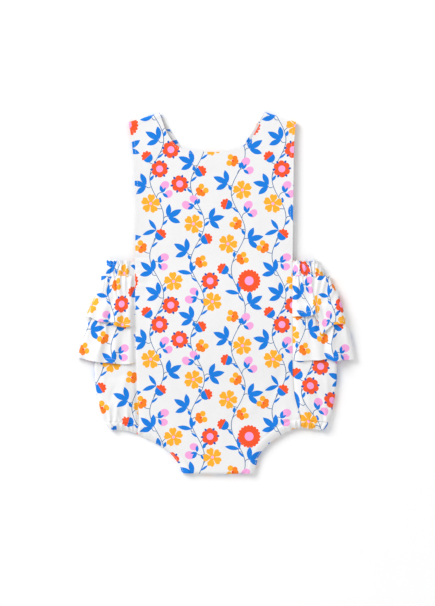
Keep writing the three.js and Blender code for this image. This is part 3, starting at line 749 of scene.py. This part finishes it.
def upper_ruffle():
    above = lambda y: UPPER_STEP.eased("z", "y", y) - UPPER_THINNED * smooth(y, 12, UPPER_TOP)
    return ruffle(
        "upper", UPPER_TOP, UPPER_FOLDS, LOWER_FOLDS, above, np.zeros_like, UPPER_HEM, UPPER_BACK_HEM, UPPER_CREASES
    )


def lower_ruffle():
    above = lambda y: np.full_like(y, LAYER)
    under = lambda y: LOWER_UNDERSIDE.eased("z", "y", y)
    return ruffle("lower", LOWER_TOP, LOWER_FOLDS, BODY_FOLDS, above, under, LOWER_HEM, LOWER_BACK_HEM, LOWER_CREASES)


# The free edge of a leg band sinks to the surface, and the band puffs over its elastic
BAND_SINK = dict(left=3.6, right=2.2)
BAND_PUFF = 0.6
# Columns of a band on the front, round the fold and on the back, and its lines down
BAND_COLUMNS, BAND_LINES = (150, 9, 80), 15


def leg_band(side, back_cloth):
    """The elastic edge of a leg opening, whose print runs on from the panels: along the front edge, round the side
    fold and back under it."""
    r = float(face(CROTCH_Y)) / 2
    front, fold, back = (np.linspace(0, 1, columns) for columns in BAND_COLUMNS)
    t = np.concatenate([front, 0 * fold + 1, back[::-1]])
    on_back = np.arange(len(t)) >= len(front) + len(fold)
    across = np.linspace(-BAND_TUCK, 1, BAND_LINES)[:, None, None]
    down = np.linspace(0, BAND_DEPTH, BAND_LINES)[:, None]
    seam = along_curve(LEG_SEAM[side], t)
    plan = lerp(seam, along_curve(LEG_HEM[side], t), across)
    angle = np.concatenate([0 * front, np.linspace(0, math.pi, len(fold) + 2)[1:-1], 0 * back + math.pi])
    outward = -1 if side == "left" else 1
    turned = np.stack([outward * r * np.sin(angle), 0 * angle, r + r * np.cos(angle)], -1)
    places = np.concatenate([plan, np.zeros((*plan.shape[:2], 1))], -1) + turned
    run = run_along(places, 1)
    column = run.mean(0, keepdims=True)
    ridges = gathers("band " + side, column, down) * smooth(t, 0.45, 0.75)
    under = gathers("band back", column - column[:, len(front) - 1], down)
    share = down / BAND_DEPTH
    relief = np.where(on_back, -UNDER_SHARE * under, ridges) * pinched(down, BAND_ROWS)
    sink = BAND_SINK[side] * (1 - smooth(t, 0.97, 1)) * share**2
    relief = (relief + np.where(on_back, 0, BAND_PUFF * np.sin(np.pi * share) - sink)) * smooth(down, 0.2, 1.8)
    relief -= np.where(on_back, 0, TUCKED["band"]) * np.exp(-(down**2))

    way = np.concatenate([front, 1 + fold, 2 + back])
    known, cuts = back_cloth.leg_ways[side]
    order = np.argsort(known)
    beside = np.interp(way, known[order], cuts[order])
    facing = np.concatenate([0 * front + 1, 1 - 2 * fold, 0 * back - 1])
    offset = plan - seam
    on_hips = np.stack([beside + facing * offset[..., 0], seam[:, 1] + offset[..., 1]], -1) + ORIGINS["back"]
    printed = np.where((way < FRONT_SEAM_AT[side])[:, None], plan + ORIGINS["front"], on_hips)
    printed[..., 1] += PUCKER_RISE * ridges
    cut = np.stack([run * LET_OUT["band"], 0 * run - down], -1)
    up = side == "left"
    return Cloth(lifted(places, relief, up), cut, printed, up, ELASTIC_CLOTH)


def unit(v):
    return v / np.linalg.norm(v, axis=-1, keepdims=True)


def strap(side):
    """A strap from its shoulder seam over the fold, and down behind the bib to the back of the waist casing. The
    bib's print runs on into it."""
    data = STRAPS[side]
    r = float(face(TOP_Y)) / 2
    at = np.linspace(0, 1, 19)
    flat = lambda x, y: np.stack([x, y, 0 * at], -1)[None]
    across = lambda ends: flat(*lerp(*np.array(ends)[..., None], at))
    fold, far = across(data["fold"]), across(data["end"])
    seam = flat(*shoulder_seam(side, at))
    front, back = unit(seam - fold), far - fold
    rows = [seam + front * TUCK + (0, 0, 2 * r - TUCKED["strap"]), seam - front * STRAP_LEVEL + (0, 0, 2 * r)]
    for angle in np.linspace(0, math.pi, 15):
        along = front if angle <= math.pi / 2 else unit(back)
        rows.append(fold + along * r * (1 - math.sin(angle)) + (0, 0, r + r * math.cos(angle)))
    hidden = fold + back * np.linspace(0.03, 1, 76)[:, None, None]
    y = hidden[..., 1]
    middle, half, ease = STRAP_CROSSING.values()
    crossing = 1 - smooth(np.abs(y - middle), half, half + ease)
    on_casing = smooth(WAIST_Y - y, -9, -3)
    hidden[..., 2] = np.maximum(data["lift"] * crossing, STRAP_END_LIFT * on_casing)
    places = np.concatenate([*rows, hidden])
    run = run_along(places)
    width = np.linalg.norm(np.subtract(*data["fold"]))
    cut = np.stack([(at - 0.5) * width + 0 * run, run], -1)
    away = -unit(front.mean(axis=1, keepdims=True))[..., :2]
    printed = seam[..., :2] + away * (run - TUCK)[..., None] + ORIGINS["front"]
    cloth = Cloth(places, cut, printed, side == "left", ELASTIC_CLOTH)
    for edge in SIDES:
        cloth.hem(edge, STRAP_HEM)
    return cloth


# The print's inks, as screen colours
CLOTH_WHITE = (0.920, 0.918, 0.922)
RED = (0.955, 0.335, 0.165)
AMBER = (0.985, 0.690, 0.185)
ORANGE = (0.965, 0.500, 0.130)
PINK = (0.955, 0.650, 0.860)
LILAC = (0.955, 0.690, 0.900)
BLUE = (0.080, 0.480, 0.860)
DARK_BLUE = (0.090, 0.330, 0.690)
STEM_BLUE = (0.270, 0.430, 0.620)

REPEAT = (132, 168)  # size of the print's repeat

# Trailing vines run up the repeat. At each joint one motif grows out, to the left and to the right in turn.
VINE_SWAY, VINE_WAVE = 7.5, 84.0
JOINT_GAP = REPEAT[1] / 14  # from joint to joint of a vine
# Vines: middle, phase of the sway, height of the first joint, and the motifs from there up
VINES = [
    (20, 0.0, 0.0, "trio blossom berries poppy twig pansy trio bud blossom trio berries pansy poppy bud"),
    (64, 0.6, 2.5, "pansy trio twig daisy bud pansy blossom trio pansy berries bud blossom trio berries"),
    (108, -0.5, 1.0, "bud poppy trio blossom trio berries pansy bud twig trio blossom berries trio poppy"),
]
LEANS = (24, 40, 12, 34, 48, 18, 30)  # how steeply the stems rise, in degrees, one joint after another
REACH = dict(poppy=12.5, daisy=15.0, blossom=13.5, pansy=11.5, bud=9.5, berries=9.0, trio=6.5, twig=5.0)
STEM_BOW, STEM_WIDTH = 2.0, 0.8
# Small leaves straight on the vines, one on every second gap between joints: vine, foot in gaps, turn, length
LEAFLETS = [(0, 0.5, 48, 8.0), (0, 1.5, 128, 6.5), (1, 1.5, 122, 7.5), (2, 0.5, 56, 7.5)]
LEAFLET_WIDTH = 3.0


def linear(colour):
    """A screen colour as the light that it stands for."""
    return tuple(c / 12.92 if c <= 0.04045 else ((c + 0.055) / 1.055) ** 2.4 for c in colour) + (1,)


class Wire:
    """A node's output. Arithmetic on it adds Math nodes, and comparisons give masks of 0 and 1."""

    def __init__(self, loom, socket):
        self.loom, self.socket = loom, socket

    def maths(self, operation, *others):
        return self.loom.maths(operation, self, *others)

    def __add__(self, other):
        return self.maths("ADD", other)

    def __sub__(self, other):
        return self.maths("SUBTRACT", other)

    def __rsub__(self, other):
        return self.loom.maths("SUBTRACT", other, self)

    def __mul__(self, other):
        return self.maths("MULTIPLY", other)

    def __pow__(self, other):
        return self.maths("POWER", other)

    def __mod__(self, other):
        return self.maths("FLOORED_MODULO", other)

    def __lt__(self, other):
        return self.maths("LESS_THAN", other)

    def __gt__(self, other):
        return self.maths("GREATER_THAN", other)

    def __or__(self, other):
        return self.maths("MAXIMUM", other)

    def __abs__(self):
        return self.maths("ABSOLUTE")

    __radd__, __rmul__ = __add__, __mul__


class Loom:
    """A node tree to which nodes are added one by one."""

    def __init__(self, name):
        self.material = bpy.data.materials.new(name)
        self.material.use_nodes = True
        self.tree = self.material.node_tree
        self.tree.nodes.clear()

    def node(self, kind, settings=None, sockets=None, output=0):
        made = self.tree.nodes.new(kind)
        for name, value in (settings or {}).items():
            setattr(made, name, value)
        for key, value in (sockets or {}).items():
            if isinstance(value, Wire):
                self.tree.links.new(value.socket, made.inputs[key])
            else:
                made.inputs[key].default_value = value
        return Wire(self, made.outputs[output]) if len(made.outputs) else made

    def maths(self, operation, *values):
        return self.node("ShaderNodeMath", {"operation": operation}, dict(enumerate(values)))

    def vector(self, operation, *values, output=0):
        return self.node("ShaderNodeVectorMath", {"operation": operation}, dict(enumerate(values)), output)

    def scaled(self, v, by):
        return self.node("ShaderNodeVectorMath", {"operation": "SCALE"}, {0: v, "Scale": by})

    def length(self, v):
        return self.vector("LENGTH", v, output=1)

    def dot(self, v, x, y):
        return self.vector("DOT_PRODUCT", v, (x, y, 0), output=1)

    def split(self, v):
        x = self.node("ShaderNodeSeparateXYZ", {}, {0: v})
        return x, Wire(self, x.socket.node.outputs[1])

    def either(self, mask, colour, under):
        """The colour where the mask is 1, over what lies under it."""
        return self.node("ShaderNodeMix", {"data_type": "RGBA"}, {0: mask, 6: under, 7: colour}, 2)

    def grain(self, scale):
        """Noise in the object's own places."""
        place = self.node("ShaderNodeTexCoord", output=3)
        return self.node("ShaderNodeTexNoise", {}, {"Vector": place, "Scale": scale, "Detail": 2.0})

    def cloth_grain(self, cut, *scale):
        """Noise in places on the cloth, with so many turns a metre across and along it."""
        place = self.vector("MULTIPLY", cut, (*scale, 0))
        return self.node("ShaderNodeTexNoise", {}, {"Vector": place, "Scale": 1.0, "Detail": 3.0})

    def bump(self, height, strength, distance):
        return self.node("ShaderNodeBump", {}, {"Strength": strength, "Distance": distance, "Height": height})

    def finish(self, sockets):
        """Ends the tree with a surface."""
        shader = self.node("ShaderNodeBsdfPrincipled", {}, sockets)
        self.node("ShaderNodeOutputMaterial", {}, {0: shader})
        return self.material


def growth():
    """By the motif's name: where its copies stand in the repeat, and how far each one's stem is turned."""
    copies = {}
    for vine, (middle, phase, rise, names) in enumerate(VINES):
        for joint, name in enumerate(names.split()):
            y = joint * JOINT_GAP + rise
            x = middle + VINE_SWAY * math.sin(2 * math.pi * y / VINE_WAVE + phase)
            lean = LEANS[(joint + 2 * vine) % len(LEANS)]
            turn = lean if joint % 2 else 180 - lean
            reach, angle = REACH[name], math.radians(turn)
            copies.setdefault(name, []).append((x + reach * math.cos(angle), y + reach * math.sin(angle), turn))
    return copies


class Print:
    """The floral print, drawn motif by motif over one repeat."""

    CODE = 1e-3  # a copy's turn rides in its place's third number, made too small to change lengths
    NOTCH = 30  # the higher, the narrower a petal's notch

    def __init__(self, loom, place):
        self.loom, self.place = loom, place
        self.cloth = linear(CLOTH_WHITE)
        self.spots = {name: self.nearest(copies) for name, copies in growth().items()}

    def nearest(self, copies):
        """Place measured from the nearest copy of a motif, in that copy's own directions."""
        loom = self.loom
        width, height = REPEAT
        best = closest = None
        for x, y, turn in copies:
            moved = loom.vector("SUBTRACT", self.place, (x, y, math.radians(turn) * self.CODE))
            here = loom.vector("WRAP", moved, (width / 2, height / 2, 1), (-width / 2, -height / 2, -1))
            far = loom.length(here)
            if best is None:
                best, closest = here, far
                continue
            best = loom.node("ShaderNodeMix", {"data_type": "VECTOR"}, {0: far < closest, 4: best, 5: here}, 1)
            closest = far.maths("MINIMUM", closest)
        turn = loom.vector("DOT_PRODUCT", best, (0, 0, 1 / self.CODE), output=1)
        return loom.node("ShaderNodeVectorRotate", {"rotation_type": "Z_AXIS"}, {"Vector": best, "Angle": turn})

    def ink(self, mask, colour):
        self.cloth = self.loom.either(mask, linear(colour), self.cloth)

    def disc(self, spot, x, y, radius):
        return self.loom.vector("DISTANCE", spot, (x, y, 0), output=1) < radius

    def oval(self, spot, x, y, length, width):
        """An oval with its long way along the stem."""
        flat = self.loom.vector("MULTIPLY", self.loom.vector("SUBTRACT", spot, (x, y, 0)), (2 / length, 2 / width, 0))
        return self.loom.length(flat) < 1

    def leaf(self, spot, x, y, turn, length, width):
        """A leaf with two pointed ends, from its foot at x, y."""
        c, s = math.cos(math.radians(turn)), math.sin(math.radians(turn))
        along = self.loom.dot(spot, c / length, s / length) - (x * c + y * s) / length
        off = abs(self.loom.dot(spot, -s, c) - (y * c - x * s))
        return off < along * (1 - along) * (2 * width)

    def petals(self, spot, count, radius, depth, start=0.0, sharp=0.5, notch=0.0):
        """Rounded petals, notched in their middles: the mask of the flower, and how near each place is to a petal's
        own middle."""
        x, y = self.loom.split(spot)
        around = y.maths("ARCTAN2", x) + start
        lobe = abs((around * (count / 2)).maths("COSINE")) ** sharp
        reach = lobe * depth + (radius - depth)
        if notch:
            reach = reach - lobe**self.NOTCH * notch
        return self.loom.length(spot) < reach, lobe

    def stem(self, spot, reach):
        """A thin stem from the vine to the motif's middle, bowed sideways."""
        x, y = self.loom.split(spot)
        off = abs(y + x * (x + reach) * (4 * STEM_BOW / reach**2)) < STEM_WIDTH / 2
        return off * (abs(x + reach / 2) < reach / 2)

    def stems(self):
        """The vines with their small leaves, and the stem of every motif."""
        x, y = self.loom.split(self.place)
        width = REPEAT[0]
        lines = [self.stem(spot, REACH[name]) for name, spot in self.spots.items()]
        along = []
        for middle, phase, rise, _ in VINES:
            sway = (y * (2 * math.pi / VINE_WAVE) + phase).maths("SINE") * VINE_SWAY
            off = (x - sway + (width / 2 - middle)) % width - width / 2
            lines.append(abs(off) < STEM_WIDTH / 2)
            along.append(self.loom.node("ShaderNodeCombineXYZ", {}, {0: off, 1: (y - rise) % (2 * JOINT_GAP)}))
        self.ink(reduce(Wire.__or__, lines), STEM_BLUE)
        leaflets = [
            self.leaf(along[vine], 0, foot * JOINT_GAP, turn, length, LEAFLET_WIDTH)
            for vine, foot, turn, length in LEAFLETS
        ]
        self.ink(reduce(Wire.__or__, leaflets), BLUE)

    def trios(self):
        spot = self.spots["trio"]
        side = self.leaf(spot, -1, 0.6, 52, 14, 5.8) | self.leaf(spot, -1, -0.6, -52, 14, 5.8)
        self.ink(self.leaf(spot, -1, 0, 0, 17, 6.4) | side, BLUE)

    def twigs(self):
        spot = self.spots["twig"]
        self.ink(self.leaf(spot, -1, 0, 38, 16, 4.8) | self.leaf(spot, -1, 0, -36, 14, 4.4), BLUE)

    def poppies(self):
        spot = self.spots["poppy"]
        self.ink(self.petals(spot, 6, 10.2, 6.2, math.pi / 6, 3.2)[0], DARK_BLUE)
        self.ink(self.petals(spot, 6, 9.3, 3.2, 0, 0.55)[0], RED)
        self.ink(self.disc(spot, 0, 0, 3.7), PINK)

    def blossoms(self):
        spot = self.spots["blossom"]
        flower, lobe = self.petals(spot, 5, 11.0, 6.2, 0, 0.5, 1.5)
        self.ink(flower * (lobe > 0.42) | self.disc(spot, 0, 0, 3.1), AMBER)
        self.ink(self.disc(spot, 0, 0, 1.6), LILAC)

    def pansies(self):
        spot = self.spots["pansy"]
        self.ink(self.disc(spot, 3.2, 3.3, 3.1) | self.disc(spot, 3.2, -3.3, 3.1), AMBER)
        low = self.disc(spot, -1.8, 3.2, 2.8) | self.disc(spot, -1.8, -3.2, 2.8) | self.disc(spot, -3.4, 0, 3.0)
        self.ink(low, ORANGE)
        self.ink(self.disc(spot, 0, 0, 1.3), RED)

    def berries(self):
        spot = self.spots["berries"]
        self.ink(self.oval(spot, 6.2, 4.4, 10.5, 8.6) | self.oval(spot, 3.4, -5.4, 9.6, 7.8), PINK)
        caps = self.leaf(spot, -1, 0.4, 62, 8, 3.6) | self.leaf(spot, -1, -0.4, -78, 7.5, 3.4)
        self.ink(caps | self.leaf(spot, -1, 0, 18, 7, 2.6), BLUE)

    def buds(self):
        spot = self.spots["bud"]
        tips = self.petals(self.loom.vector("SUBTRACT", spot, (1.6, 0, 0)), 9, 6.2, 1.5, 0, 0.7)[0]
        cup = self.disc(spot, 0, 0, 5.2)
        x, y = self.loom.split(spot)
        self.ink(tips * (x > 0.4), RED)
        self.ink(cup * (x < 1.0), BLUE)

    def daisies(self):
        spot = self.spots["daisy"]
        self.ink(self.petals(spot, 19, 12.4, 1.6, 0, 0.7)[0], RED)
        self.ink(self.disc(spot, 0, 0, 4.8), PINK)

    def all_motifs(self):
        for motif in (
            self.stems, self.trios, self.twigs, self.berries, self.buds, self.pansies, self.blossoms, self.poppies,
            self.daisies,
        ):
            motif()
        return self.cloth


# The cotton: metres from thread to thread of the weave, and how often a metre thick threads and rumples come
THREAD_PITCH = 0.00042
SLUB, RUMPLE = (260, 2600), (42, 30)


def printed_cotton(name):
    """White cotton poplin with the print."""
    loom = Loom(name)
    cut = loom.node("ShaderNodeUVMap", {"uv_map": "cut"})
    colour = Print(loom, loom.vector("MULTIPLY", cut, (1 / MM, 1 / MM, 0))).all_motifs()
    slubs = loom.cloth_grain(cut, *SLUB) + loom.cloth_grain(cut, *SLUB[::-1])
    x, y = loom.split(cut)
    turns = 2 * math.pi / THREAD_PITCH
    weave = (x * turns).maths("SINE") * (y * turns).maths("SINE")
    height = loom.cloth_grain(cut, *RUMPLE) * 0.9 + slubs * 0.08 + weave * 0.02
    return loom.finish({
        "Base Color": loom.scaled(colour, slubs * 0.06 + 0.94), "Roughness": 0.86, "Specular IOR Level": 0.2,
        "Sheen Weight": 0.05, "Normal": loom.bump(height, 0.55, 0.0016),
    })


def thread_material():
    loom = Loom("white_thread")
    tone = loom.grain(900.0)
    colour = loom.either(tone, (0.80, 0.79, 0.77, 1), (0.93, 0.92, 0.91, 1))
    return loom.finish({"Base Color": colour, "Roughness": 0.6, "Normal": loom.bump(tone, 0.4, 0.0002)})


STITCH = dict(length=2.1, pitch=2.9, width=0.24, height=0.2, sunk=0.15)
STITCH_SHAPE = ((0, 0.55, 0.2), (0.18, 1, 1), (0.82, 1, 1), (1, 0.55, 0.2))  # along it, with its width and height


def placed(name, data, material=None):
    """An object in the scene with this mesh, lamp or camera."""
    if material:
        data.materials.append(material)
    made = bpy.data.objects.new(name, data)
    bpy.context.scene.collection.objects.link(made)
    return made


def stitches(name, lines, material):
    """Raised stitches along lines of places and normals, as one piece."""
    points, quads = [], []
    along, wide, high = np.array(STITCH_SHAPE).T
    for places, out in lines:
        run = run_along(places)
        for start in np.arange(STITCH["pitch"] / 2, run[-1] - STITCH["length"], STITCH["pitch"]):
            at = start + along * STITCH["length"]
            beside = lambda values: np.stack([np.interp(at, run, values[:, i]) for i in range(3)], -1)
            spine, up = beside(places), unit(beside(out))
            side = np.cross(up, unit(spine[-1] - spine[0]))
            first = len(points)
            for c, u, v, w, h in zip(spine, up, side, wide * STITCH["width"] / 2, high * STITCH["height"]):
                points += [c - v * w, c + u * h, c + v * w, c - u * STITCH["sunk"]]
            for a in range(first, first + 12, 4):
                quads += [(a + i, a + (i + 1) % 4, a + 4 + (i + 1) % 4, a + 4 + i) for i in range(4)]
            quads += [(first + 3, first + 2, first + 1, first), tuple(first + 12 + i for i in range(4))]
    points = np.array(points)
    points[:, 2] = np.maximum(points[:, 2], 0.0)
    made = bpy.data.meshes.new(name)
    made.from_pydata((points * MM).tolist(), [], quads)
    made.polygons.foreach_set("use_smooth", np.ones(len(quads), bool))
    piece = placed(name, made, material)
    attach(piece, "root")
    return piece


def part_of(line, axis, low, high):
    """The stretch of a line between two places along an axis."""
    places, out = line
    keep = (places[:, axis] > low) & (places[:, axis] < high)
    return places[keep], out[keep]


COTTONS = ("front", "back", "ruffle", "band", "strap")


def dress():
    """Makes every cloth piece and its stitching."""
    thread = thread_material()
    cottons = {"print_" + name: printed_cotton(name + "_cotton") for name in COTTONS}
    front, back, casing = front_panel(), back_panel(), waist_casing()
    upper, lower = upper_ruffle(), lower_ruffle()
    straps = [side + "_shoulder_strap" for side in SIDES]
    pieces = [
        ("front", "front_panel", "print_front", front, "laid", ["back", *straps]),
        ("back", "back_panel", "print_back", back, "folded", []),
        ("waist_elastic_casing", "waist_casing", "print_band", casing, "gathered", []),
        ("upper_tier", "upper_ruffle", "print_ruffle", upper, "gathered", ["back"]),
        ("lower_tier", "lower_ruffle", "print_ruffle", lower, "gathered", ["back"]),
    ]
    sewn = {
        "front": [
            *(part_of(front.line(side, 3.0), 1, WAIST_Y, 178) for side in SIDES),
            part_of(front.line("top", 3.0), 0, NECKLINE[0][0] + 3, NECKLINE[-1][0] - 3),
        ],
        "waist_elastic_casing": [casing.line("top", 3.0), casing.line("bottom", 2.2)],
        "upper_tier": [upper.line("bottom", 4.5)],
        "lower_tier": [lower.line("bottom", 4.5)],
    }
    for side, strap_name in zip(SIDES, straps):
        band, shoulder = leg_band(side, back), strap(side)
        band_name = side + "_leg_elastic_band"
        pieces.append((band_name, side + "_leg_band", "print_band", band, "gathered", []))
        pieces.append((strap_name, side + "_strap", "print_strap", shoulder, "folded", []))
        sewn[band_name] = [band.line("bottom", 1.6)]
        sewn[strap_name] = [shoulder.line(edge, 2.5) for edge in SIDES]
    for name, node, slot, cloth, held, rests_on in pieces:
        stitching = [stitches(name + "_stitching", sewn[name], thread)] if name in sewn else []
        piece = placed(name, cloth.mesh(name), cottons[slot])
        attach(piece, "root")
        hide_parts(node)
        width, length, area = cloth.flat_size()
        min(area, width * length)


FLOOR_SIZE, FLOOR_DROP = 8.0, 0.0003  # in metres


def floor():
    loom = Loom("floor_paint")
    colour = loom.either(loom.grain(30.0), (0.94, 0.94, 0.94, 1), (0.96, 0.96, 0.96, 1))
    half = FLOOR_SIZE / 2
    made = bpy.data.meshes.new("floor")
    corners = [(x, y, -FLOOR_DROP) for x, y in ((-half, -half), (half, -half), (half, half), (-half, half))]
    made.from_pydata(corners, [], [(0, 1, 2, 3)])
    placed("floor", made, loom.finish({"Base Color": colour, "Roughness": 0.9}))


def soft_light(name, place, size, power):
    """A round lamp that shines at the middle of the garment."""
    lamp = bpy.data.lights.new(name, "AREA")
    lamp.shape = "DISK"
    lamp.size = size
    lamp.energy = power
    light = placed(name, lamp)
    light.location = place
    light.rotation_mode = "QUATERNION"
    light.rotation_quaternion = (-Vector(place)).to_track_quat("-Z", "Y")


def studio():
    """Pale even light, with one soft lamp from the upper left."""
    world = bpy.data.worlds.new("studio")
    world.use_nodes = True
    background = world.node_tree.nodes["Background"]
    background.inputs["Color"].default_value = (1, 1, 1, 1)
    background.inputs["Strength"].default_value = 0.75
    bpy.context.scene.world = world
    soft_light("window", (-2.5, 2.1, 2.4), 2.1, 105)
    bpy.context.scene.view_settings.view_transform = "Standard"


LENS = 100.0
GARMENT_HEIGHT = 6.0  # height of the faces at which the photo's scale holds


def camera():
    """Straight above, framed as in the photo."""
    view = bpy.data.cameras.new("camera")
    view.lens = LENS
    view.clip_end = 20
    x, y = (PHOTO[0] / 2 - GARMENT_CENTRE[0]) * PHOTO_SCALE, (GARMENT_CENTRE[1] - PHOTO[1] / 2) * PHOTO_SCALE
    distance = PHOTO[1] * PHOTO_SCALE / view.sensor_width * LENS + GARMENT_HEIGHT
    stand = placed("camera", view)
    stand.location = (x * MM, y * MM, distance * MM)
    bpy.context.scene.camera = stand


camera()
studio()
floor()
dress()
